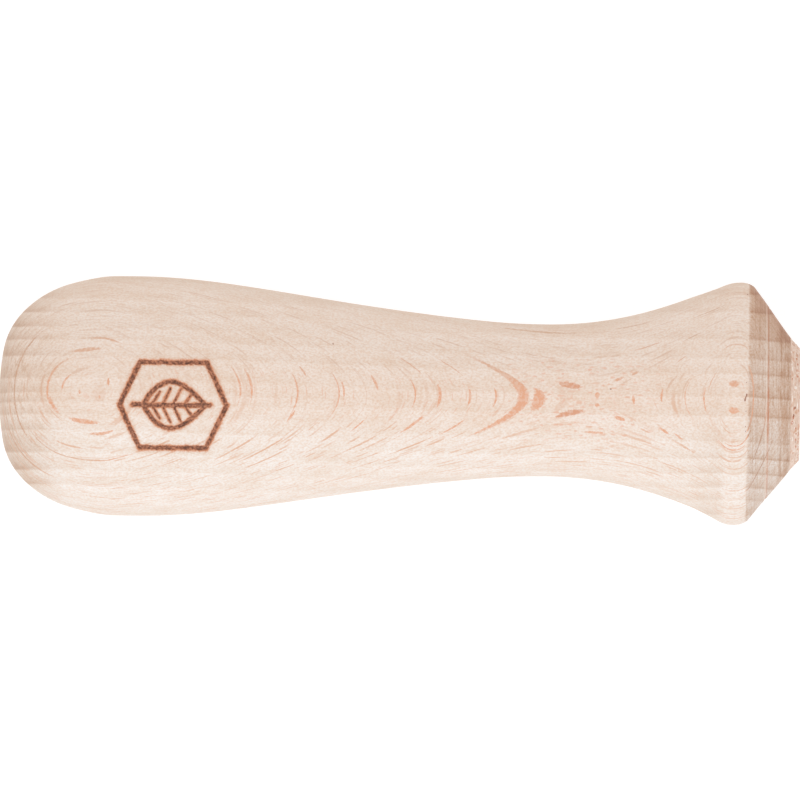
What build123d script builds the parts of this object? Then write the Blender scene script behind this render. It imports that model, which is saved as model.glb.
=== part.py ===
from build123d import *
import math
import os

# Turned beech file handle with a steel wire spiral screwed into the tang socket.
# Millimetres, +Z up. The origin is the centre of the front face, at the mouth of the
# tang socket. +X runs along the handle's axis and out of the mouth, towards the file.

# ---- driving dimensions ----
LENGTH = 120.0           # front face to butt
BELLY_R = 17.97          # fattest part, in the palm
BELLY_X = -99.3
WAIST_R = 11.4           # slimmest part, behind the flared front
WAIST_X = -37.8
RIM_R = 18.2             # crest of the flared front, which stops the hand
RIM_X = -9.2
FACE_R = 8.45            # flat ring round the mouth

# butt: a shallow crown that a rounded shoulder carries into the belly
CROWN_R = 40.0
CROWN_EDGE_R = 6.5
SHOULDER = ((-117.2, 11.68), (-113.9, 14.66), (-110.0, 16.55), (-105.5, 17.65))

# palm swell: long taper from the belly to the waist
SWELL_BACK = (-82.5, 16.55)
SWELL_MIDDLE = (-64.5, 13.85)
SWELL_FRONT = (-49.5, 12.02)

# flare: from the waist up to the rim
FLARE_BACK = (-25.5, 12.79)
FLARE_MIDDLE = (-16.5, 15.6)
FLARE_FRONT = (-12.3, 17.38)

# nose: rounded rim, crease, turned cone and a torn-looking lip at the face
RIM_ROUND_R = 3.1
CREASE_X = -7.25
CREASE_ROUND_R = 0.5
LIP_X = -1.2
LIP_R = 9.72
TOOL_LINE_X = -4.8       # fine line that the cutter left round the cone
TOOL_LINE_WIDTH = 0.3
TOOL_LINE_DEPTH = 0.07

# steel wire spiral that grips the tang
WIRE_R = 0.75
SPIRAL_FRONT_R = 5.4     # to the middle of the wire
SPIRAL_BACK_R = 4.7
SPIRAL_FRONT_X = -1.6
SPIRAL_BACK_X = -24.4
SPIRAL_PITCH = 2.6
WIRE_IN_WALL = 0.35      # how deep the wire sits in the thread it cuts in the wood
THREAD_CLEARANCE = 0.03

# tang socket: tapered seat for the spiral, then a plain pilot bore
MOUTH_CHAMFER = 0.6
SEAT_DEPTH = 26.0
PILOT_R = 3.4
PILOT_DEPTH = 62.0
DRILL_POINT_ANGLE = 118.0


def spiral_taper():
    """Radius that the spiral loses for each millimetre along its axis."""
    return (SPIRAL_FRONT_R - SPIRAL_BACK_R) / (SPIRAL_FRONT_X - SPIRAL_BACK_X)


def seat_radius(x):
    """Radius of the tapered seat at a depth x, so that the wire is sunk in its wall by WIRE_IN_WALL."""
    wire_centre = SPIRAL_FRONT_R + spiral_taper() * (x - SPIRAL_FRONT_X)
    return wire_centre + WIRE_R - WIRE_IN_WALL


def crown_edge():
    """Point where the butt's crown ends, and the outline's direction there."""
    angle = math.asin(CROWN_EDGE_R / CROWN_R)
    x = -LENGTH + CROWN_R * (1 - math.cos(angle))
    return (x, CROWN_EDGE_R), (math.sin(angle), math.cos(angle))


def rim_front():
    """Point where the rounded rim meets the crease above the cone."""
    angle = math.asin((CREASE_X - RIM_X) / RIM_ROUND_R)
    return (CREASE_X, RIM_R - RIM_ROUND_R * (1 - math.cos(angle)))


def outer_outline():
    """Half outline of the turned outside, from the butt's centre to the mouth's chamfer."""
    butt = (-LENGTH, 0)
    edge, edge_direction = crown_edge()
    belly = (BELLY_X, BELLY_R)
    waist = (WAIST_X, WAIST_R)
    rim = (RIM_X, RIM_R)
    mouth_edge_r = seat_radius(0) + MOUTH_CHAMFER
    crown = RadiusArc(butt, edge, CROWN_R)
    shoulder = Spline([edge, *SHOULDER, belly], tangents=[edge_direction, (1, 0)])
    swell = Spline([belly, SWELL_BACK, SWELL_MIDDLE, SWELL_FRONT, waist], tangents=[(1, 0), (1, 0)])
    flare = Spline([waist, FLARE_BACK, FLARE_MIDDLE, FLARE_FRONT, rim], tangents=[(1, 0), (1, 0)])
    rim_round = RadiusArc(rim, rim_front(), RIM_ROUND_R)
    nose = Polyline(rim_front(), (LIP_X, LIP_R), (0, FACE_R), (0, mouth_edge_r))
    return [crown, shoulder, swell, flare, rim_round, nose]


def socket_outline():
    """Half outline of the tang socket, from the mouth's chamfer to the pilot's drill point."""
    drill_point = PILOT_R / math.tan(math.radians(DRILL_POINT_ANGLE / 2))
    shoulder = (seat_radius(-SEAT_DEPTH) - PILOT_R) / math.tan(math.radians(DRILL_POINT_ANGLE / 2))
    return Polyline(
        (0, seat_radius(0) + MOUTH_CHAMFER),
        (-MOUTH_CHAMFER, seat_radius(-MOUTH_CHAMFER)),
        (-SEAT_DEPTH, seat_radius(-SEAT_DEPTH)),
        (-SEAT_DEPTH - shoulder, PILOT_R),
        (-PILOT_DEPTH, PILOT_R),
        (-PILOT_DEPTH - drill_point, 0),
        (-LENGTH, 0),
    )


def wire_sweep(radius, turns_ahead=0):
    """Round bar of the given radius along the spiral's tapered helix, about the X axis.

    turns_ahead whole turns are added in front, on the same helix.
    """
    ahead = turns_ahead * SPIRAL_PITCH
    start = (SPIRAL_FRONT_X + ahead, 0, 0)
    start_r = SPIRAL_FRONT_R + spiral_taper() * ahead
    length = SPIRAL_FRONT_X - SPIRAL_BACK_X + ahead
    cone_angle = -math.degrees(math.atan(spiral_taper()))
    helix = Helix(SPIRAL_PITCH, length, start_r, start, (-1, 0, 0), cone_angle)
    section = Plane(origin=helix @ 0, z_dir=helix % 0) * Circle(radius)
    return sweep(section, path=helix, is_frenet=True)


def tool_line():
    """V-shaped ring that the cutter scored round the cone."""
    back, front = rim_front(), (LIP_X, LIP_R)
    slope = (front[1] - back[1]) / (front[0] - back[0])
    surface_r = back[1] + slope * (TOOL_LINE_X - back[0])
    along = Vector(1, slope).normalized() * (TOOL_LINE_WIDTH / 2)
    inward = Vector(slope, -1).normalized() * TOOL_LINE_DEPTH
    middle = Vector(TOOL_LINE_X, surface_r)
    section = Polygon(
        tuple(middle - along * 2 - inward),
        tuple(middle + inward),
        tuple(middle + along * 2 - inward),
        align=None,
    )
    return revolve(section, Axis.X)


def handle_body():
    """Turned beech handle with its socket and the thread that the spiral was screwed in along."""
    lines = [*outer_outline(), socket_outline()]
    section = make_face([edge for line in lines for edge in line.edges()])
    crease = section.vertices().sort_by_distance((*rim_front(), 0))[0]
    section = fillet(crease, CREASE_ROUND_R)
    turned = revolve(section, Axis.X)
    return turned - tool_line() - wire_sweep(WIRE_R + THREAD_CLEARANCE, turns_ahead=1)


def tang_spiral():
    """Steel wire spiral, screwed into the seat."""
    return wire_sweep(WIRE_R)


NODES = {
    "handle_body": handle_body,
    "tang_spiral": tang_spiral,
}

os.makedirs("parts", exist_ok=True)
for node, make in NODES.items():
    export_step(make(), f"parts/{node}.step")
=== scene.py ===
import math

import bpy
import numpy as np
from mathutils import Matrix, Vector, noise


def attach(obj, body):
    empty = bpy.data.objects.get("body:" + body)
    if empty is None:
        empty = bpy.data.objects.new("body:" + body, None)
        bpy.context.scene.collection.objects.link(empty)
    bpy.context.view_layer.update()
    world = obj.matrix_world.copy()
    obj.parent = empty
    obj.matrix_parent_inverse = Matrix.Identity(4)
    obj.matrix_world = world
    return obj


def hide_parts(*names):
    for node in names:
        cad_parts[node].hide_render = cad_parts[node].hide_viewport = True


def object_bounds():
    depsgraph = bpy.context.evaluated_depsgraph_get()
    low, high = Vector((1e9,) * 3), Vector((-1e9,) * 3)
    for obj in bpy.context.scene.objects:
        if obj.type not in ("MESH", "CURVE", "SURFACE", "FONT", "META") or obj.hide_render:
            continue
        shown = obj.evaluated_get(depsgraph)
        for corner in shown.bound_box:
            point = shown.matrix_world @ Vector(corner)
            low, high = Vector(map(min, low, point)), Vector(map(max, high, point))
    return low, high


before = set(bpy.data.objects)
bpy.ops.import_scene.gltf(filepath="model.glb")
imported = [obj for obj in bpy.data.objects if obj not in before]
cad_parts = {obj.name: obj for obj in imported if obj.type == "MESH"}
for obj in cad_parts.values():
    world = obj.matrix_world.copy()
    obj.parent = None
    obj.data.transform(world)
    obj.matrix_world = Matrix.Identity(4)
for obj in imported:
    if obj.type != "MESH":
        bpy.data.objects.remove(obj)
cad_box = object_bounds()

# A turned beech file handle that lies on a pale floor, seen from straight above. Blender's
# units are metres. Sizes and places below are in millimetres, in the CAD frame: X runs along
# the handle's axis to the front face at 0, and +Z is the side with the burned mark.
MM = 0.001

# ---- the handle's mesh ----
SOCKET_R = 6.4           # no vertex of the CAD handle's socket is further from the axis
SOCKET_END_X = -66.0     # and none is further back
FACE_R = 8.45
BODY_END_X = -8.5        # the body's grid ends here, and triangles join it to
FRONT_X = -8.2           # the front's finer grid, which starts here
BODY_STEPS = ((-121.0, 0.35), (-118.5, 0.8), (-103.0, 0.13), (-84.8, 1.1), (-22.0, 0.7), (-12.0, 0.3))
FRONT_STEPS = ((FRONT_X, 0.1), (-6.4, 0.35), (-5.15, 0.06), (-4.45, 0.35), (-1.9, 0.11))
MARK_ANGLES = (-29.0, 20.0)   # degrees round the axis from +Z towards +Y
MARK_ANGLE_STEP = 0.4
PLAIN_ANGLE_STEP = 4.0
FRONT_ANGLES = 240

# the socket's wall behind the mouth, as (x, r), and how many rings each stretch has
SOCKET_WALL = ((-0.6, 5.818), (-4.0, 5.714), (-26.0, 5.038), (-26.985, 3.4), (-62.0, 3.4), (-64.0, 0.07))
SOCKET_RINGS = (4, 24, 22, 3, 14, 3)

# ---- the burned mark ----
MARK_CENTRE = (-93.8, -1.3)   # x, y
MARK_DEPTH = 0.2
STROKE = 0.4                  # half the width of a stroke
VEIN_STROKE = 0.24
LEAF_ENDS = (-4.5, 4.9)       # the leaf's stem and tip, from the mark's centre
LEAF_HALF = 3.5
LEAF_STEPS = 12
LEAF_VEINS = ((-3.2, 2.0), (-1.6, 2.5), (0.0, 2.4), (1.6, 1.6))   # each pair's start and half width
BORDER = ((8.0, 0.0), (5.0, 6.4), (-5.0, 6.4), (-8.0, 0.0), (-5.0, -6.4), (5.0, -6.4))
MARK_HALF = (8.0, 7.0)        # no stroke reaches further from the mark's centre
STALK_START = -6.0
TIP_REACH = 0.6               # how far the midrib runs out beyond the leaf's tip
VEIN_LEAN = 1.2               # how far each vein runs forward
FAR = 2.0                     # the mark's distance attribute stops here

# ---- how the wood grew ----
RING_DRIFT = 0.017            # the growth rings' slant along the handle
RING_DRIFT_X = -5.0
RING_CURVE_R = 300.0          # the growth rings' radius
RAY_TILT = 0.045              # the rays' slant across the handle
GRAIN_X = -31.0
GRAIN_SLOPE = 0.11            # the fibres climb by this much per mm at GRAIN_X
GRAIN_BEND = -0.00052
RING_EDGES = (17.5, 16.0, 13.1, 8.95, 6.0, 3.65, 0.2, -2.7, -6.45, -8.9, -11.1, -13.1, -14.9, -17.0)
BUTT_RING_EDGES = (15.5, 12.6, 10.45, 8.2, 6.2, 3.7, 0.4, -1.8, -3.2, -5.05, -7.35, -10.65, -13.2, -15.3)
RING_EDGE_HALF = 0.14         # how far a growth ring's dark edge takes to turn pale
RING_SPAN = 20.0

# large rays: a point of the upper surface that each goes through, how far back from it the
# ray's middle is, and its half sizes along the fibres, across the rings and across the rays
LARGE_RAYS = (
    # round the butt
    (-117.6, 1.4, -3.0, 5.5, 9.0, 0.16),
    (-118.3, -5.3, -3.0, 5.0, 9.0, 0.14),
    (-112.4, -8.0, -4.0, 9.0, 6.0, 0.07),
    (-112.6, 1.5, -2.4, 3.6, 4.3, 0.08),
    (-112.0, -1.2, -1.2, 2.0, 1.5, 0.1),
    (-110.3, 1.7, -0.8, 1.4, 1.6, 0.03),
    (-107.2, -3.9, 0.0, 2.4, 1.2, 0.1),
    (-106.8, 6.9, 0.0, 2.3, 1.0, 0.11),
    (-103.6, 8.5, 0.0, 2.6, 1.0, 0.08),
    (-104.4, -5.7, 0.0, 2.0, 0.8, 0.1),
    (-103.5, 2.1, 0.0, 0.2, 0.6, 0.12),
    (-107.8, 0.5, 0.0, 0.17, 0.34, 0.1),
    (-104.8, -0.2, 0.0, 0.15, 0.26, 0.08),
    # along the palm
    (-83.9, 2.0, 0.8, 2.0, 2.8, 0.05),
    (-82.2, 2.0, 0.6, 2.0, 2.6, 0.07),
    (-75.2, 0.6, 1.0, 2.0, 3.2, 0.05),
    (-76.0, -2.6, 0.8, 1.6, 1.0, 0.09),
    (-74.3, 3.8, 0.4, 1.0, 1.0, 0.06),
    (-69.0, 0.8, 0.8, 2.2, 3.6, 0.035),
    (-68.3, 1.2, 0.2, 0.7, 1.4, 0.05),
    (-63.6, 2.4, 0.3, 1.2, 1.3, 0.07),
    (-65.4, -3.4, 1.6, 2.2, 1.6, 0.06),
    (-57.6, 0.9, 0.5, 1.0, 2.4, 0.035),
    (-57.4, -3.4, 1.2, 2.6, 2.2, 0.09),
    (-57.4, 4.4, 1.4, 2.4, 2.4, 0.05),
    (-53.9, 0.5, 0.3, 1.1, 1.9, 0.075),
    (-51.0, -3.6, 1.6, 2.6, 1.9, 0.07),
    (-51.6, 4.4, 1.2, 2.4, 2.0, 0.045),
    (-49.4, 0.4, 0.3, 0.9, 1.5, 0.05),
    (-45.5, 0.3, 0.2, 0.5, 1.8, 0.035),
    # the arrowhead in the waist, and what follows it
    (-41.4, 0.4, 2.6, 7.5, 8.5, 0.145),
    (-39.1, -0.1, 0.1, 1.5, 2.1, 0.15),
    (-34.6, 2.3, 0.0, 2.3, 0.6, 0.11),
    (-34.6, -1.9, 0.0, 2.5, 1.2, 0.1),
    (-39.6, 10.3, 0.0, 6.5, 1.2, 0.25),
    (-30.4, 0.9, 0.0, 0.4, 0.5, 0.06),
    (-30.4, -0.6, 0.0, 0.4, 0.3, 0.06),
    (-27.2, 3.3, 0.0, 1.0, 0.5, 0.06),
    (-27.0, -2.6, 0.0, 1.0, 0.6, 0.09),
    (-30.7, -4.7, 0.0, 1.6, 0.4, 0.09),
    (-24.8, 4.2, 0.0, 0.8, 0.5, 0.07),
    (-25.0, 0.3, 0.0, 0.4, 0.8, 0.04),
    # up the flare
    (-20.3, -4.4, 0.0, 1.0, 0.8, 0.09),
    (-18.2, -5.2, 0.0, 1.0, 0.8, 0.07),
    (-20.8, 0.9, 0.0, 0.5, 1.0, 0.04),
    (-17.3, 0.4, -1.8, 3.0, 3.4, 0.022),
    (-14.5, 0.4, -1.0, 1.6, 2.2, 0.05),
    (-13.6, 2.8, -1.6, 2.4, 2.2, 0.03),
    (-11.0, -6.6, -0.6, 2.6, 1.6, 0.05),
    (-9.4, -6.3, 0.0, 2.0, 1.0, 0.04),
    (-10.4, 8.9, -0.4, 2.6, 1.4, 0.04),
    (-13.7, 13.7, 0.0, 2.8, 3.0, 0.08),
    (-16.4, 9.7, 0.0, 1.8, 2.4, 0.05),
    (-22.7, 8.3, 0.0, 2.3, 2.0, 0.06),
    (-25.1, 11.3, 0.0, 3.0, 2.0, 0.12),
    (-18.0, 6.3, 0.0, 0.9, 1.2, 0.04),
    (-10.0, 2.8, 0.0, 0.85, 0.5, 0.3),
    (-10.0, -1.2, 0.0, 0.85, 0.5, 0.3),
    # over the rim and across the cone
    (-7.1, 0.4, 0.0, 1.8, 6.2, 0.14),
    (-7.8, -4.9, 0.6, 1.6, 1.4, 0.08),
    (-5.9, -9.9, 0.4, 3.2, 6.0, 0.14),
    (-5.9, -5.6, 0.0, 2.0, 6.5, 0.12),
)

# spots: a point of the upper surface, and half sizes along and across the handle
PITS = (
    (-70.0, 8.1, 0.12, 0.12),
    (-28.4, 1.8, 0.18, 0.1),
    (-8.15, 3.0, 0.07, 0.1),
    (-8.1, 1.1, 0.15, 0.3),
    (-8.25, 0.75, 0.1, 0.25),
    (-8.35, 0.4, 0.15, 0.28),
    (-8.2, -1.3, 0.06, 0.12),
    (-8.25, -3.6, 0.06, 0.12),
    (-8.25, -4.3, 0.06, 0.12),
    (-8.0, 16.2, 0.12, 0.08),
    (-0.75, -0.7, 0.14, 0.24),
    (-0.95, -1.9, 0.13, 0.26),
    (-0.6, -5.8, 0.08, 0.12),
)
ORANGE_CRUMBS = (
    (-0.6, 6.7, 0.11, 0.25),
    (-0.35, 5.8, 0.15, 0.22),
    (-0.5, 4.9, 0.11, 0.28),
    (-0.35, 4.0, 0.13, 0.22),
    (-1.2, 3.6, 0.1, 0.18),
    (-0.7, 2.4, 0.13, 0.14),
    (-0.9, -0.85, 0.12, 0.26),
    (-1.0, -2.15, 0.15, 0.32),
    (-1.15, -2.95, 0.24, 0.28),
    (-0.6, -3.8, 0.11, 0.18),
    (-0.55, -4.6, 0.13, 0.15),
    (-0.6, -5.5, 0.11, 0.22),
    (-0.55, -6.5, 0.12, 0.24),
)
# painted highlights: pale spots where the lip's torn fibres catch the light
PAINTED_HIGHLIGHT_CRUMBS = (
    (-0.65, 2.3, 0.26, 0.3),
    (-1.15, -2.95, 0.11, 0.13),
    (-0.4, -0.4, 0.12, 0.5),
    (-1.15, 5.2, 0.12, 0.5),
    (-1.2, 0.6, 0.1, 0.6),
    (-1.1, -5.4, 0.12, 0.5),
)

CREASE_LEAN = 0.009           # the cone's edge leans forward by this much per mm towards +Y
CONE_BEGINS = (-8.05, -7.6)   # over this stretch the sawn wood's colour sets in
CONE_ENDS = (-1.2, -1.5)      # and over this one it gives way to the lip
SCORED_LINE = (-4.95, -4.72)
PALE_LINE = (-5.22, -4.98)
BURNISHED_BAND = (-3.2, -1.5)

# ---- depth of the crumbled lip, and of the surfaces' fine relief, in mm ----
LIP_TEAR = 0.1
WOOD_RELIEF = 0.022
WIRE_RELIEF = 0.01
FLOOR_RELIEF = 0.1

# ---- how the flare was left by the sanding belt ----
FLARE_DROP = 0.2              # it sits this much low, in mm
FLARE_LEAN = 0.02             # and its crest leans forward by this much per mm towards +Y

# ---- camera and light, in mm ----
CAMERA_HEIGHT = 4500.0
VIEW_WIDTH = 120.0
VIEW_SHIFT = (0.1, -0.18)
VIEW_ROLL = 0.617
FLOOR_HALF = 4000.0
FLOOR_GLOW = 0.7
WORLD_STRENGTH = 0.75
SOFTBOX_SIZE = 500.0
SOFTBOXES = (("key", (-60, -420, 480), 1.1), ("fill", (-60, 380, 520), 0.5))   # place, watts
SENSOR_WIDTH = 36.0


# ---- outline and mesh ----
def cad_outline():
    """(x, r) along the CAD handle's outside, from the butt's centre to the mouth's edge."""
    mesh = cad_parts["handle_body"].data
    flat = np.empty(3 * len(mesh.vertices), np.float32)
    mesh.vertices.foreach_get("co", flat)
    x, y, z = flat.reshape(-1, 3).T / MM
    r = np.hypot(y, z)
    outside = (r > SOCKET_R) | (x < SOCKET_END_X)
    pairs = np.unique(np.round(np.stack([x[outside], r[outside]], 1), 3), axis=0)
    return pairs[np.lexsort((-pairs[:, 1], pairs[:, 0]))]


def step_at(x, steps):
    """The step of the stretch that x is in."""
    begun = [step for start, step in steps[1:] if start <= x]
    return begun[-1] if begun else steps[0][1]


def walk(line, steps, end_x=None):
    """Points along a line of (x, r), a step apart, with the steps that suit each stretch."""
    along = np.concatenate([[0], np.cumsum(np.hypot(*np.diff(line, axis=0).T))])
    end = along[-1] if end_x is None else np.interp(end_x, line[:, 0], along)
    stops = [np.interp(steps[0][0], line[:, 0], along)]
    while stops[-1] < end:
        x = np.interp(stops[-1], along, line[:, 0])
        stops.append(min(stops[-1] + step_at(x, steps), end))
    return np.stack([np.interp(stops, along, line[:, 0]), np.interp(stops, along, line[:, 1])], 1)


def socket_line():
    """Points along the socket's wall, from the mouth's edge to the drill point."""
    corners = [tuple(OUTLINE[-1]), *SOCKET_WALL]
    points = []
    for (x0, r0), (x1, r1), rings in zip(corners, corners[1:], SOCKET_RINGS):
        t = np.arange(1, rings + 1)[:, None] / rings
        points.append(np.array([[x0, r0]]) * (1 - t) + np.array([[x1, r1]]) * t)
    return np.concatenate(points)


def body_angles():
    """Angles round the body, fine over the mark and coarse elsewhere, in radians."""
    low, high = MARK_ANGLES
    fine = np.arange(low, high, MARK_ANGLE_STEP)
    plain = np.linspace(high, low + 360, round((360 + low - high) / PLAIN_ANGLE_STEP), endpoint=False)
    return np.radians(np.concatenate([fine, plain]))


def front_angles():
    """Even angles round the front, from the same start as the body's."""
    start = math.radians(MARK_ANGLES[0])
    return start + np.linspace(0, 2 * math.pi, FRONT_ANGLES, endpoint=False)


def ring_points(line, angles):
    """Vertices of every ring of a turned grid, ring after ring."""
    x = np.repeat(line[:, 0], len(angles))
    r = np.repeat(line[:, 1], len(angles))
    a = np.tile(angles, len(line))
    return np.stack([x, r * np.sin(a), r * np.cos(a)], 1)


def grid_faces(first, rings, count):
    """Quads of a grid of rings that starts at vertex first."""
    faces = []
    for ring in range(rings - 1):
        low = first + ring * count
        for i in range(count):
            j = (i + 1) % count
            faces.append((low + i, low + count + i, low + count + j, low + j))
    return faces


def zip_faces(first, angles, second, other_angles):
    """Triangles between two rings that have different numbers of vertices."""
    a = np.append(angles, angles[0] + 2 * math.pi)
    b = np.append(other_angles, other_angles[0] + 2 * math.pi)
    n, m = len(angles), len(other_angles)
    i = j = 0
    faces = []
    while i < n or j < m:
        if j == m or (i < n and a[i + 1] <= b[j + 1]):
            faces.append((first + i, second + j % m, first + (i + 1) % n))
            i += 1
        else:
            faces.append((first + i % n, second + j, second + (j + 1) % m))
            j += 1
    return faces


def cap_faces(centre, first, count, forward):
    """Triangles from one vertex to the ring that starts at vertex first, facing +X if forward."""
    faces = [(centre, first + (i + 1) % count, first + i) for i in range(count)]
    return faces if forward else [face[::-1] for face in faces]


OUTLINE = cad_outline()


def surface_z(x, y):
    """The height of the handle's upper surface at x, y."""
    return math.sqrt(np.interp(x, OUTLINE[:, 0], OUTLINE[:, 1]) ** 2 - y ** 2)


# ---- the burned mark's shape ----
def to_segment(points, start, end):
    """Each point's distance to a segment."""
    start, end = np.array(start, float), np.array(end, float)
    way = end - start
    t = np.clip(((points - start) @ way) / (way @ way), 0, 1)
    return np.hypot(*(points - start - t[:, None] * way).T)


def closed(corners):
    """The sides of a polygon, as pairs of points."""
    return list(zip(corners, corners[1:] + corners[:1]))


def leaf_edge(side):
    """Points along one edge of the leaf, from its stem to its tip."""
    stem, tip = LEAF_ENDS
    shares = [i / LEAF_STEPS for i in range(LEAF_STEPS + 1)]
    return [(stem + (tip - stem) * t, side * LEAF_HALF * math.sin(math.pi * t ** 0.85)) for t in shares]


def mark_strokes():
    """Strokes of the mark about its centre: a six-sided border round a beech leaf."""
    edges = [stroke for side in (-1, 1) for stroke in zip(leaf_edge(side), leaf_edge(side)[1:])]
    midrib = [((STALK_START, 0.0), (LEAF_ENDS[1] + TIP_REACH, 0.0))]
    veins = [((x, 0.0), (x + VEIN_LEAN, side * reach)) for x, reach in LEAF_VEINS for side in (-1, 1)]
    outlines = [(stroke, STROKE) for stroke in closed(BORDER) + edges + midrib]
    return outlines + [(stroke, VEIN_STROKE) for stroke in veins]


def noise_at(points, size, seed=0.0):
    """Smooth noise of about -1 to 1 at each point, for features of that size in mm."""
    shift = Vector((seed, seed * 1.7, seed * 2.3))
    return np.array([noise.noise(Vector(p) / size + shift) for p in points])


def mark_distance(points):
    """How far inside a stroke of the mark each vertex is, in mm, and negative outside them."""
    flat = points[:, :2] - np.array(MARK_CENTRE)
    inside = np.full(len(points), -FAR)
    near = (points[:, 2] > 0) & np.all(np.abs(flat) < np.array(MARK_HALF) + FAR, axis=1)
    shake = np.stack([noise_at(points[near], 0.9), noise_at(points[near], 0.9, 5.0)], 1)
    shaky = flat[near] + 0.09 * shake
    reach = [half - to_segment(shaky, *stroke) for stroke, half in mark_strokes()]
    inside[near] = np.max(reach, axis=0) + 0.08 * noise_at(points[near], 0.35, 9.0)
    return np.clip(inside, -FAR, FAR)


def smooth_step(low, high, value):
    t = np.clip((value - low) / (high - low), 0, 1)
    return t * t * (3 - 2 * t)


def pressed(points, distance):
    """Vertices with the mark's strokes pressed towards the axis."""
    grain = 0.5 + 0.5 * noise_at(points, 0.3, 3.0)
    depth = MARK_DEPTH * smooth_step(-0.06, 0.26, distance) * (0.7 + 0.5 * grain)
    r = np.hypot(points[:, 1], points[:, 2])
    scale = np.divide(r - depth, r, out=np.ones_like(r), where=r > 0)
    return np.stack([points[:, 0], points[:, 1] * scale, points[:, 2] * scale], 1)


# ---- the front's wear ----
def torn(points):
    """Vertices of the front, with the lip and the mouth's edge crumbled by the cutter."""
    r = np.hypot(points[:, 1], points[:, 2])
    at_lip = smooth_step(-1.9, -1.1, points[:, 0]) * smooth_step(6.0, 7.2, r)
    rough = noise_at(points, 0.55, 21.0) + 0.6 * noise_at(points, 0.22, 23.0)
    cut = LIP_TEAR * at_lip * np.clip(0.45 + rough, 0, 1.4)
    scale = (r - cut) / r
    return np.stack([points[:, 0] - 0.6 * cut, points[:, 1] * scale, points[:, 2] * scale], 1)


def off_true(points):
    """Vertices with the flare moved the little that it is off the axis."""
    x, y, z = points.T
    flare = smooth_step(-17.0, -10.0, x) * smooth_step(SOCKET_R, FACE_R, np.hypot(y, z))
    lean = flare * (1 - smooth_step(-6.0, -1.5, x))
    return np.stack([x + FLARE_LEAN * y * lean, y - FLARE_DROP * flare, z], 1)


def handle_mesh():
    """The handle as one closed mesh, with the mark's distance on its vertices."""
    body_line = walk(OUTLINE, BODY_STEPS, BODY_END_X)[1:]
    front_line = np.concatenate([walk(OUTLINE, FRONT_STEPS), socket_line()])
    round_body, round_front = body_angles(), front_angles()
    body = ring_points(body_line, round_body)
    distance = mark_distance(body)
    body = pressed(body, distance)
    front = torn(ring_points(front_line, round_front))
    butt, drill = [[OUTLINE[0, 0], 0, 0]], [[SOCKET_WALL[-1][0], 0, 0]]
    points = off_true(np.concatenate([butt, body, front, drill]))

    n, m = len(round_body), len(round_front)
    front_start = 1 + len(body)
    faces = cap_faces(0, 1, n, False)
    faces += grid_faces(1, len(body_line), n)
    faces += zip_faces(front_start - n, round_body, front_start, round_front)
    faces += grid_faces(front_start, len(front_line), m)
    faces += cap_faces(len(points) - 1, len(points) - 1 - m, m, True)

    mesh = bpy.data.meshes.new("handle_visual")
    mesh.from_pydata((points * MM).tolist(), [], faces)
    mesh.validate()
    mesh.shade_smooth()
    layer = mesh.attributes.new("mark_distance", "FLOAT", "POINT")
    values = np.full(len(points), -FAR, np.float32)
    values[1:front_start] = distance
    layer.data.foreach_set("value", values)
    return mesh


def link(name, data):
    made = bpy.data.objects.new(name, data)
    bpy.context.scene.collection.objects.link(made)
    return made


# ---- materials ----
def srgb(red, green, blue):
    """A linear colour from its 0 to 255 values."""
    shares = [value / 255 for value in (red, green, blue)]
    return (*[v / 12.92 if v < 0.04045 else ((v + 0.055) / 1.055) ** 2.4 for v in shares], 1.0)


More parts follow.
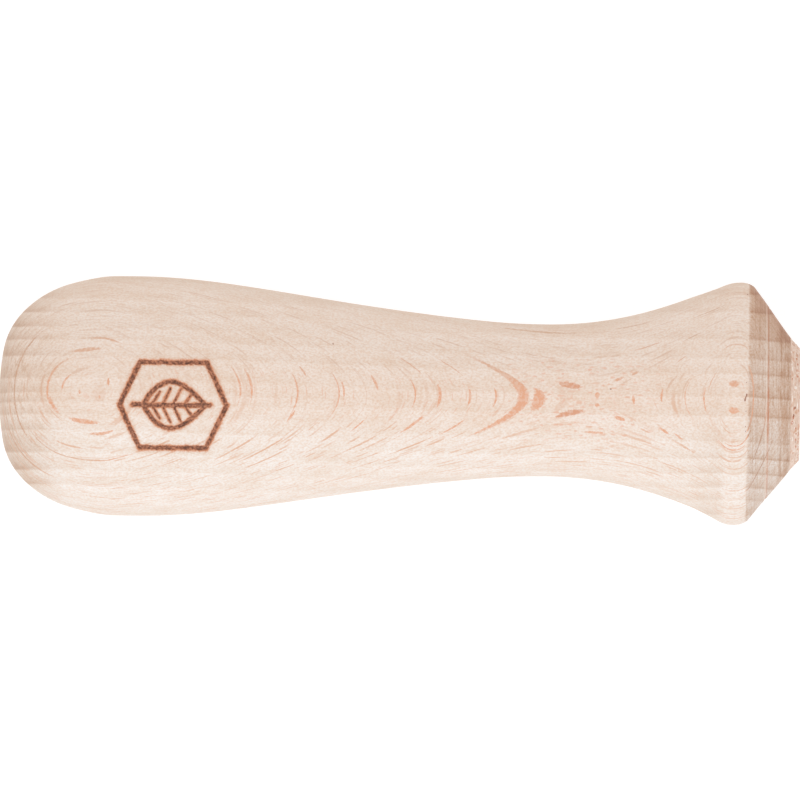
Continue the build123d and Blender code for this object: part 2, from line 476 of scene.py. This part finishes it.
class Shader:
    """A material's node tree, with a short call for each kind of node."""

    def __init__(self, name):
        self.material = bpy.data.materials.new(name)
        self.material.use_nodes = True
        self.nodes = self.material.node_tree.nodes
        self.links = self.material.node_tree.links
        self.nodes.clear()
        coordinates = self.nodes.new("ShaderNodeTexCoord")
        self.place = self.vector("DIVIDE", coordinates.outputs["Object"], (MM,) * 3)
        self.facing = coordinates.outputs["Normal"]

    def add(self, kind, inputs, output=0, **settings):
        """A node with its inputs set or linked; one of its outputs comes back."""
        node = self.nodes.new(kind)
        for name, value in settings.items():
            setattr(node, name, value)
        for key, value in inputs.items():
            if isinstance(value, bpy.types.NodeSocket):
                self.links.new(value, node.inputs[key])
            else:
                node.inputs[key].default_value = value
        return node.outputs[output]

    def math(self, operation, a, b=0.0):
        return self.add("ShaderNodeMath", {0: a, 1: b}, operation=operation)

    def times(self, *factors):
        """The product of all the factors."""
        product = factors[0]
        for factor in factors[1:]:
            product = self.math("MULTIPLY", product, factor)
        return product

    def vector(self, operation, a, b=(0, 0, 0)):
        output = "Value" if operation == "LENGTH" else "Vector"
        return self.add("ShaderNodeVectorMath", {0: a, 1: b}, output, operation=operation)

    def ease(self, value, start, end, low=0.0, high=1.0):
        """Goes smoothly from low, where value is start, to high, where it is end."""
        if start > end:
            start, end, low, high = end, start, high, low
        inputs = {"Value": value, "From Min": start, "From Max": end, "To Min": low, "To Max": high}
        return self.add("ShaderNodeMapRange", inputs, interpolation_type="SMOOTHSTEP")

    def band(self, value, low, high, soft):
        """1 between low and high, and 0 outside them."""
        risen = self.ease(value, low - soft, low + soft)
        return self.times(risen, self.ease(value, high + soft, high - soft))

    def mix(self, factor, a, b, blend="MIX"):
        return self.add("ShaderNodeMix", {0: factor, 6: a, 7: b}, 2, data_type="RGBA", blend_type=blend)

    def tinted(self, colour, factor, tint):
        """colour, multiplied by tint where factor is 1."""
        return self.mix(factor, colour, tint, "MULTIPLY")

    def tinted_by(self, colour, where, tints):
        """colour, multiplied in turn by each tint of (factor, tint), only where where is 1."""
        for factor, tint in tints:
            colour = self.tinted(colour, self.times(where, factor), tint)
        return colour

    def noise(self, vector, size, detail=2.0):
        """Noise of 0 to 1 with features of that size, a number or one for each direction."""
        sizes = size if isinstance(size, tuple) else (size,) * 3
        scaled = self.vector("DIVIDE", vector, sizes)
        return self.add("ShaderNodeTexNoise", {"Vector": scaled, "Scale": 1.0, "Detail": detail})

    def uneven(self, vector, size, height, detail=2.0):
        """Noise of up to about half of height each way."""
        return self.times(self.math("SUBTRACT", self.noise(vector, size, detail), 0.5), height)

    def wobble(self, value, vector, size, height, detail=2.0):
        return self.math("ADD", value, self.uneven(vector, size, height, detail))

    def split(self, vector):
        node = self.nodes.new("ShaderNodeSeparateXYZ")
        self.links.new(vector, node.inputs[0])
        return tuple(node.outputs)

    def join(self, x, y, z):
        return self.add("ShaderNodeCombineXYZ", {0: x, 1: y, 2: z})

    def finish(self, colour, roughness, height, height_scale, **constants):
        """The shader and the output."""
        bump = self.add("ShaderNodeBump", {"Height": height, "Distance": height_scale, "Strength": 1.0})
        inputs = {"Base Color": colour, "Roughness": roughness, "Normal": bump, **constants}
        shader = self.add("ShaderNodeBsdfPrincipled", inputs)
        self.links.new(shader, self.nodes.new("ShaderNodeOutputMaterial").inputs["Surface"])
        return self.material


# ---- beech ----
def grain_climb(x):
    """How far the fibres have climbed at x."""
    along = x - GRAIN_X
    return GRAIN_SLOPE * along + GRAIN_BEND * along ** 2


def ray_level(x, y):
    """The level, across the rays, of the handle's upper surface at x, y."""
    return surface_z(x, y) + RAY_TILT * y - grain_climb(x)


def ring_level(x, y):
    """The level, across the growth rings, of the handle's upper surface at x, y."""
    return y + RING_DRIFT * (x - RING_DRIFT_X) - surface_z(x, y) ** 2 / (2 * RING_CURVE_R)


def grain_space(t):
    """A vector of the place along the fibres, across the rings and across the rays."""
    x, y, z = t.split(t.place)
    drift = t.times(t.math("SUBTRACT", x, RING_DRIFT_X), RING_DRIFT)
    curve = t.math("DIVIDE", t.math("POWER", z, 2.0), 2 * RING_CURVE_R)
    rings = t.math("SUBTRACT", t.math("ADD", y, drift), curve)
    along = t.math("SUBTRACT", x, GRAIN_X)
    climb = t.times(along, t.math("ADD", t.times(along, GRAIN_BEND), GRAIN_SLOPE))
    rays = t.math("SUBTRACT", t.math("ADD", z, t.times(y, RAY_TILT)), climb)
    return t.join(x, rings, rays)


def bent_grain(t, grain):
    """grain with the uneven run of real fibres."""
    along, across, through = t.split(grain)
    through = t.wobble(through, grain, (30.0, 16.0, 10.0), 0.5)
    through = t.wobble(through, grain, (7.0, 6.0, 5.0), 0.14)
    return t.join(along, across, through)


def ring_ramp(t, level, edges):
    """0 where a growth ring starts, to about 1 where it ends, for rings that end at those levels."""
    node = t.nodes.new("ShaderNodeValToRGB")
    t.links.new(t.math("ADD", t.math("DIVIDE", level, 2 * RING_SPAN), 0.5), node.inputs[0])
    stops = node.color_ramp.elements
    for edge in reversed(edges):
        for shift, value in ((-RING_EDGE_HALF, 0.0), (RING_EDGE_HALF, 0.92 + 0.08 * math.sin(9 * edge))):
            stop = stops.new((edge + shift) / (2 * RING_SPAN) + 0.5)
            stop.color = (value, value, value, 1)
    stops[0].color = stops[-1].color = (0, 0, 0, 1)
    return node.outputs[0]


def ring_shade(t, grain):
    """How far through its growth ring the wood is, with the rings closer together at the butt."""
    along, level = t.split(grain)[:2]
    level = t.wobble(level, grain, (14.0, 6.0, 6.0), 0.22)
    level = t.wobble(level, grain, (1.2, 0.7, 0.7), 0.1)
    front = t.ease(along, -85.0, -55.0)
    return t.mix(front, ring_ramp(t, level, BUTT_RING_EDGES), ring_ramp(t, level, RING_EDGES))


def scattered_rays(t, grain, ragged, cell, half):
    """Rays scattered one to a cell: lenses that lie level with the grain, of uneven size and strength.

    cell and half are sizes along the fibres, across the rings and across the rays.
    """
    scaled = t.vector("DIVIDE", grain, cell)
    voronoi = t.nodes.new("ShaderNodeTexVoronoi")
    voronoi.inputs["Scale"].default_value = 1.0
    t.links.new(scaled, voronoi.inputs["Vector"])
    offset = t.vector("SUBTRACT", scaled, voronoi.outputs["Position"])
    reach = t.vector("MULTIPLY", offset, tuple(c / h for c, h in zip(cell, half)))
    along, across, through = t.split(reach)
    length, thickness, strength = t.split(voronoi.outputs["Color"])
    along = t.math("DIVIDE", along, t.math("ADD", length, 0.4))
    through = t.math("DIVIDE", through, t.math("ADD", thickness, 0.25))
    distance = t.math("ADD", t.vector("LENGTH", t.join(along, across, through)), ragged)
    return t.times(t.ease(distance, 1.1, 0.5), t.math("ADD", t.times(strength, 0.75), 0.25))


def placed_rays(t, grain, ragged):
    """The large rays, each a thin lens in the wood that the surface cuts through."""
    shown = 0.0
    for x, y, back, half_x, half_y, half_level in LARGE_RAYS:
        middle = (x - back, ring_level(x, y), ray_level(x, y))
        reach = t.vector("DIVIDE", t.vector("SUBTRACT", grain, middle), (half_x, half_y, half_level))
        distance = t.math("ADD", t.vector("LENGTH", reach), ragged)
        shown = t.math("MAXIMUM", t.ease(distance, 1.1, 0.75), shown)
    return shown


def spots(t, rows):
    """Small ragged spots on the surface."""
    ragged = t.uneven(t.place, 0.15, 0.9)
    shown = 0.0
    for x, y, half_x, half_y in rows:
        offset = t.vector("SUBTRACT", t.place, (x, y, surface_z(x, y)))
        distance = t.vector("LENGTH", t.vector("DIVIDE", offset, (half_x, half_y, 0.6)))
        shown = t.math("MAXIMUM", t.ease(t.math("ADD", distance, ragged), 1.1, 0.6), shown)
    return shown


def plain_wood_with_painted_light(t, grain, fibre, mottle):
    """The plain wood between the rays, paler towards -Y: partly the wood's own tone, partly painted
    light from below.
    """
    y = t.split(t.place)[1]
    # painted light: the wood is made paler towards -Y, as if lit from that side, on top of its own paler
    # ring there
    colour = t.mix(t.ease(y, 1.0, -9.0), srgb(244, 230, 220), srgb(248, 242, 238))
    cloud = t.noise(grain, (9.0, 3.0, 2.0))
    colour = t.tinted(colour, t.ease(fibre, 0.4, 0.8, 0.0, 0.5), srgb(238, 228, 220))
    colour = t.tinted(colour, t.ease(mottle, 0.35, 0.7), srgb(248, 237, 227))
    return t.tinted(colour, t.ease(cloud, 0.35, 0.8), srgb(250, 245, 240))


def painted_side_shade(t, colour, facing_z, sawn):
    """The handle's sides, darkened as painted shade where they turn away from the top, most towards +Y.
    """
    y = t.split(t.place)[1]
    # painted shade: the sides darken as the normal turns from +Z, more towards +Y, and the cone's side
    # towards +Y with them
    side = t.ease(t.math("ABSOLUTE", facing_z), 0.62, 0.12)
    colour = t.tinted(colour, t.times(side, t.ease(y, -6.0, 3.0, 0.5, 1.0)), srgb(239, 234, 228))
    cone_side_shade = t.times(sawn, t.ease(facing_z, 0.45, 0.15), t.ease(y, 3.0, 9.0))
    return t.tinted(colour, cone_side_shade, srgb(240, 224, 213))


def butt_marks(t, colour, butt, ring, hatch):
    """The rounded butt: darker towards each growth ring's end, with the rays' edges as fine lines, and
    its late wood darkened towards the upper and lower sides, partly as painted shade.
    """
    y = t.split(t.place)[1]
    # painted shade, on top of the late wood's own darkness: the butt's far sides towards +Y and -Y are
    # darkened
    far_side_shade = t.math("MAXIMUM", t.ease(y, 4.0, 11.0), t.ease(y, -5.0, -11.0, 0.0, 0.8))
    return t.tinted_by(colour, butt, (
        (ring, srgb(240, 233, 227)),
        (t.ease(y, -3.0, -7.0), srgb(243, 237, 231)),
        (t.times(t.math("POWER", ring, 3.0), far_side_shade), srgb(232, 210, 195)),
        (hatch, srgb(238, 227, 217)),
    ))


def cone_marks(t, colour, sawn, ring, mottle, hatch):
    """The sawn cone: browner end grain with turning marks, a scored line and a burnished band, with
    painted shade towards +Y.
    """
    x, y = t.split(t.place)[:2]
    turned = t.noise(t.place, (0.16, 14.0, 14.0), 3.0)
    late_wood = t.math("POWER", ring, 9.0)
    upper_rings = t.times(t.math("POWER", ring, 5.0), t.ease(y, 4.0, 12.0))
    burnish_gaps = t.ease(t.noise(t.place, (0.3, 3.0, 3.0)), 0.3, 0.6)
    burnish = t.times(t.band(x, *BURNISHED_BAND, 0.35), burnish_gaps)
    colour = t.tinted_by(colour, sawn, (
        (1.0, srgb(246, 246, 247)),
        (t.ease(mottle, 0.25, 0.8), srgb(246, 239, 233)),
        (ring, srgb(246, 240, 235)),
        (late_wood, srgb(236, 222, 211)),
        # painted shade: the cone darkens towards +Y, the side turned from the light below
        (t.ease(y, 5.0, 14.0), srgb(244, 232, 222)),
        (upper_rings, srgb(220, 182, 157)),
        (t.ease(turned, 0.45, 0.72), srgb(240, 230, 222)),
        (hatch, srgb(242, 231, 222)),
        (burnish, srgb(236, 221, 209)),
    ))
    # the scored line is darkest in the middle, and the cutter left a pale line beside it
    middle = t.ease(t.math("ABSOLUTE", y), 6.5, 3.5, 0.5, 1.0)
    pale_gaps = t.ease(t.noise(t.place, (1.0, 1.6, 1.6)), 0.3, 0.55, 0.4)
    dark_gaps = t.ease(t.noise(t.place, (1.0, 1.8, 1.8)), 0.35, 0.6, 0.4)
    beside = t.times(t.band(x, *PALE_LINE, 0.06), pale_gaps)
    scored = t.times(t.band(x, *SCORED_LINE, 0.07), dark_gaps)
    colour = t.mix(t.times(beside, 0.62), colour, srgb(236, 217, 203))
    return t.mix(t.times(scored, middle, 0.95), colour, srgb(204, 138, 106))


def lip_marks(t, colour):
    """The crumbled lip round the face: pale, with fine streaks, bright and orange crumbs, and painted
    highlights where torn fibres catch the light.
    """
    x = t.split(t.place)[0]
    lip = t.ease(t.wobble(x, t.place, 0.6, 0.3), -1.5, -1.3)
    streak = t.noise(t.place, (0.14, 2.0, 2.0))
    crumb = t.noise(t.place, (0.3, 0.5, 0.5))
    tint = t.noise(t.place, (0.5, 0.9, 0.9))
    colour = t.mix(t.times(lip, 0.6), colour, srgb(233, 204, 186))
    colour = t.tinted(colour, t.times(lip, t.ease(streak, 0.45, 0.7)), srgb(232, 214, 202))
    colour = t.tinted(colour, t.times(lip, t.ease(tint, 0.5, 0.7)), srgb(240, 214, 196))
    colour = t.mix(t.times(lip, t.ease(crumb, 0.6, 0.68), 0.7), colour, srgb(250, 240, 230))
    colour = t.mix(t.times(spots(t, ORANGE_CRUMBS), 0.85), colour, srgb(196, 118, 84))
    # painted highlights on the lip's torn fibres
    return t.mix(t.times(spots(t, PAINTED_HIGHLIGHT_CRUMBS), 0.75), colour, srgb(252, 242, 233))


def burned_mark(t, colour):
    """The branded strokes: charred and speckled, with a scorched fringe."""
    inside = t.add("ShaderNodeAttribute", {}, "Fac", attribute_name="mark_distance")
    inside = t.wobble(inside, t.place, 0.3, 0.3, 3.0)
    speckle = t.noise(t.place, 0.42, 3.0)
    fringe = t.ease(t.noise(t.place, 0.7), 0.3, 0.6, 0.4)
    burned = t.mix(t.ease(speckle, 0.34, 0.52), srgb(190, 126, 96), srgb(138, 86, 64))
    burned = t.mix(t.times(t.ease(speckle, 0.52, 0.64), 0.9), burned, srgb(84, 50, 38))
    edged = t.mix(t.ease(inside, 0.02, 0.2), srgb(202, 128, 90), burned)
    colour = t.tinted(colour, t.times(t.ease(inside, -0.6, -0.1), 0.4), srgb(238, 218, 204))
    colour = t.mix(t.times(t.ease(inside, -0.22, 0.0), fringe, 0.75), colour, srgb(218, 146, 104))
    return t.mix(t.times(t.ease(inside, -0.06, 0.12), 0.95), colour, edged)


def ray_marks(t, colour, bent, long_rays, ragged, facing_z, sawn):
    """The many rays that are too small to place one by one."""
    x, y, z = t.split(t.place)
    # painted light: the rays are greyer and darker towards +Y and salmon towards -Y, standing in for how
    # they catch the light from below
    tint = t.mix(t.ease(y, 6.0, -4.0), srgb(217, 181, 157), srgb(224, 176, 145))
    fainter = t.ease(y, 8.0, 1.0, 0.7, 1.0)
    # rays are weaker on the flat top, and most of all towards +Y
    leaning = t.math("MAXIMUM", t.ease(facing_z, 0.985, 0.94), t.ease(y, 5.0, -5.0, 0.4, 0.6))
    off_cone = t.math("SUBTRACT", 1.0, t.times(sawn, 0.6))

    short_rays = scattered_rays(t, bent, ragged, (3.6, 8.0, 0.3), (1.2, 3.0, 0.09))
    colour = t.mix(t.times(short_rays, leaning, off_cone, fainter, 0.75), colour, tint)

    # the long rays are faint in the middle of the flare, and half as strong on top of the waist
    near_middle = t.ease(t.math("ABSOLUTE", y), 7.5, 4.5)
    in_waist = t.times(t.band(x, -44.0, -22.0, 6.0), near_middle, t.ease(z, 2.0, 6.0))
    flare_middle = t.times(t.ease(x, -24.0, -20.0), t.band(y, -6.2, 0.8, 0.8), 0.7)
    kept = t.math("SUBTRACT", 1.0, t.math("MAXIMUM", flare_middle, t.times(in_waist, 0.5)))
    colour = t.mix(t.times(long_rays, leaning, off_cone, kept, fainter, 0.95), colour, tint)

    # upright flecks, far taller than their cells, so that the waist's surface always cuts them
    flecks = scattered_rays(t, t.place, ragged, (1.7, 1.1, 8.0), (0.5, 0.17, 30.0))
    colour = t.mix(t.times(flecks, in_waist, 0.7), colour, srgb(230, 176, 148))

    fine_rays = scattered_rays(t, bent, ragged, (1.9, 2.0, 0.12), (0.6, 0.9, 0.03))
    fine_shown = t.times(fine_rays, t.ease(facing_z, 0.93, 0.985), off_cone, 0.6)
    colour = t.mix(fine_shown, colour, srgb(230, 178, 150))

    butt_rays = scattered_rays(t, bent, ragged, (9.0, 16.0, 0.7), (3.8, 7.0, 0.24))
    return t.mix(t.times(butt_rays, t.ease(x, -111.5, -115.0), fainter, 0.9), colour, tint)


def large_ray_tint(t, sawn):
    """The large rays' colour, which differs from place to place, with painted shade: greyer towards +Y
    and darker along the upper edge.
    """
    x, y = t.split(t.place)[:2]
    low_palm = t.times(t.ease(x, -100.0, -108.0), t.ease(y, -5.0, -7.0))
    round_butt = t.ease(x, -112.5, -115.5)
    waist_patches = t.band(x, -37.2, -31.9, 0.2)
    # painted shade along the upper edge, where the surface turns away from the light
    upper_edge_shade = t.ease(y, 8.7, 9.6)
    low_cone = t.times(sawn, t.ease(y, -1.0, -5.0))
    # painted light: greyer towards +Y and salmon towards -Y, as the rays catch the light from below
    tint = t.mix(t.ease(y, 5.0, 1.0), srgb(222, 176, 148), srgb(229, 169, 136))
    for share, other in (
        (low_palm, srgb(218, 174, 146)),
        (round_butt, srgb(208, 164, 136)),
        (waist_patches, srgb(219, 158, 126)),
        (upper_edge_shade, srgb(212, 172, 144)),
        (low_cone, srgb(190, 148, 124)),
    ):
        tint = t.mix(share, tint, other)
    return tint


def beech():
    """Bare turned beech: growth rings, rays, pits, a sawn cone and a burned mark."""
    t = Shader("beech")
    x, y = t.split(t.place)[:2]
    facing_x, _, facing_z = t.split(t.facing)
    grain = grain_space(t)
    bent = bent_grain(t, grain)
    fibre = t.noise(bent, (2.2, 0.16, 0.1), 3.0)
    mottle = t.noise(t.place, (0.36, 0.26, 0.26))
    hatch = t.ease(t.noise(bent, (6.0, 1.3, 0.3), 3.0), 0.48, 0.7)
    ring = ring_shade(t, grain)
    crease = t.wobble(t.math("SUBTRACT", x, t.times(y, CREASE_LEAN)), t.place, 0.8, 0.2)
    sawn = t.times(t.ease(crease, *CONE_BEGINS), t.ease(x, *CONE_ENDS))
    butt = t.ease(facing_x, -0.25, -0.9)

    colour = plain_wood_with_painted_light(t, bent, fibre, mottle)
    colour = t.tinted(colour, t.times(ring, 0.55), srgb(246, 240, 234))
    colour = butt_marks(t, colour, butt, ring, hatch)
    colour = cone_marks(t, colour, sawn, ring, mottle, hatch)
    colour = painted_side_shade(t, colour, facing_z, sawn)

    ragged = t.uneven(t.place, (0.4, 0.3, 0.3), 0.9)
    long_rays = scattered_rays(t, bent, ragged, (8.0, 18.0, 0.5), (3.2, 7.0, 0.13))
    colour = ray_marks(t, colour, bent, long_rays, ragged, facing_z, sawn)
    patchy = t.ease(t.noise(t.place, 0.45), 0.38, 0.58, 0.62, 1.0)
    large_rays = t.times(placed_rays(t, grain, ragged), patchy, 0.95)
    colour = t.mix(large_rays, colour, large_ray_tint(t, sawn))

    colour = lip_marks(t, colour)
    colour = t.mix(t.times(spots(t, PITS), 0.85), colour, srgb(150, 90, 62))
    colour = burned_mark(t, colour)

    rough = t.ease(fibre, 0.2, 0.8, 0.52, 0.68)
    height = t.math("ADD", t.times(fibre, 0.6), t.times(mottle, 0.4))
    off_cone = t.math("SUBTRACT", 1.0, t.times(sawn, 0.6))
    height = t.times(t.math("SUBTRACT", height, t.times(long_rays, 0.1)), off_cone)
    return t.finish(colour, rough, height, WOOD_RELIEF * MM, **{"Specular IOR Level": 0.3})


def spring_steel():
    """Drawn spring wire: grey steel with fine drawing lines and a little dull oil."""
    t = Shader("spring_steel")
    lines = t.noise(t.place, (0.1, 0.5, 0.5), 3.0)
    film = t.noise(t.place, 1.4, 3.0)
    colour = t.mix(t.ease(film, 0.35, 0.7), srgb(172, 172, 174), srgb(138, 135, 132))
    colour = t.tinted(colour, t.ease(lines, 0.4, 0.7), srgb(222, 221, 219))
    rough = t.ease(film, 0.3, 0.75, 0.28, 0.46)
    return t.finish(colour, rough, lines, WIRE_RELIEF * MM, Metallic=1.0)


def plain_floor():
    """A pale matt studio surface with a faint mottle."""
    t = Shader("studio_floor")
    mottle = t.noise(t.place, 20.0)
    colour = t.mix(mottle, (0.38, 0.38, 0.38, 1), (0.42, 0.42, 0.42, 1))
    glow = {"Emission Color": (1, 1, 1, 1), "Emission Strength": FLOOR_GLOW}
    return t.finish(colour, 0.8, mottle, FLOOR_RELIEF * MM, **glow)


# ---- the scene ----
def add_handle():
    handle = link("handle_visual", handle_mesh())
    handle.data.materials.append(beech())
    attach(handle, "root")
    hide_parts("handle_body")


def finish_spiral():
    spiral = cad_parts["tang_spiral"]
    spiral.data.materials.clear()
    spiral.data.materials.append(spring_steel())


def add_floor():
    half = FLOOR_HALF * MM
    low = cad_box[0].z
    corners = [(-half, -half, low), (half, -half, low), (half, half, low), (-half, half, low)]
    mesh = bpy.data.meshes.new("studio_floor")
    mesh.from_pydata(corners, [], [(0, 1, 2, 3)])
    mesh.materials.append(plain_floor())
    link("studio_floor", mesh)


def add_softbox(name, place, watts):
    """A square area light that faces the handle's middle."""
    light = bpy.data.lights.new(name, "AREA")
    light.size = SOFTBOX_SIZE * MM
    light.energy = watts
    lamp = link(name, light)
    lamp.location = Vector(place) * MM
    lamp.rotation_euler = (handle_middle() - lamp.location).to_track_quat("-Z", "Y").to_euler()


def handle_middle():
    low, high = cad_box
    return (low + high) / 2


def add_world():
    world = bpy.data.worlds.new("studio")
    world.use_nodes = True
    background = world.node_tree.nodes["Background"]
    background.inputs["Color"].default_value = (1, 1, 1, 1)
    background.inputs["Strength"].default_value = WORLD_STRENGTH
    bpy.context.scene.world = world


def add_camera():
    """A long lens far above the handle, turned so that the front end sits a little low."""
    camera = bpy.data.cameras.new("camera")
    camera.sensor_width = SENSOR_WIDTH
    camera.lens = camera.sensor_width * CAMERA_HEIGHT / VIEW_WIDTH
    camera.clip_end = 2 * CAMERA_HEIGHT * MM
    eye = link("camera", camera)
    eye.location = (handle_middle().x + VIEW_SHIFT[0] * MM, VIEW_SHIFT[1] * MM, CAMERA_HEIGHT * MM)
    eye.rotation_euler = (0, 0, math.radians(VIEW_ROLL))
    bpy.context.scene.camera = eye


add_handle()
finish_spiral()
add_floor()
add_world()
for softbox in SOFTBOXES:
    add_softbox(*softbox)
add_camera()
bpy.context.scene.view_settings.view_transform = "Standard"
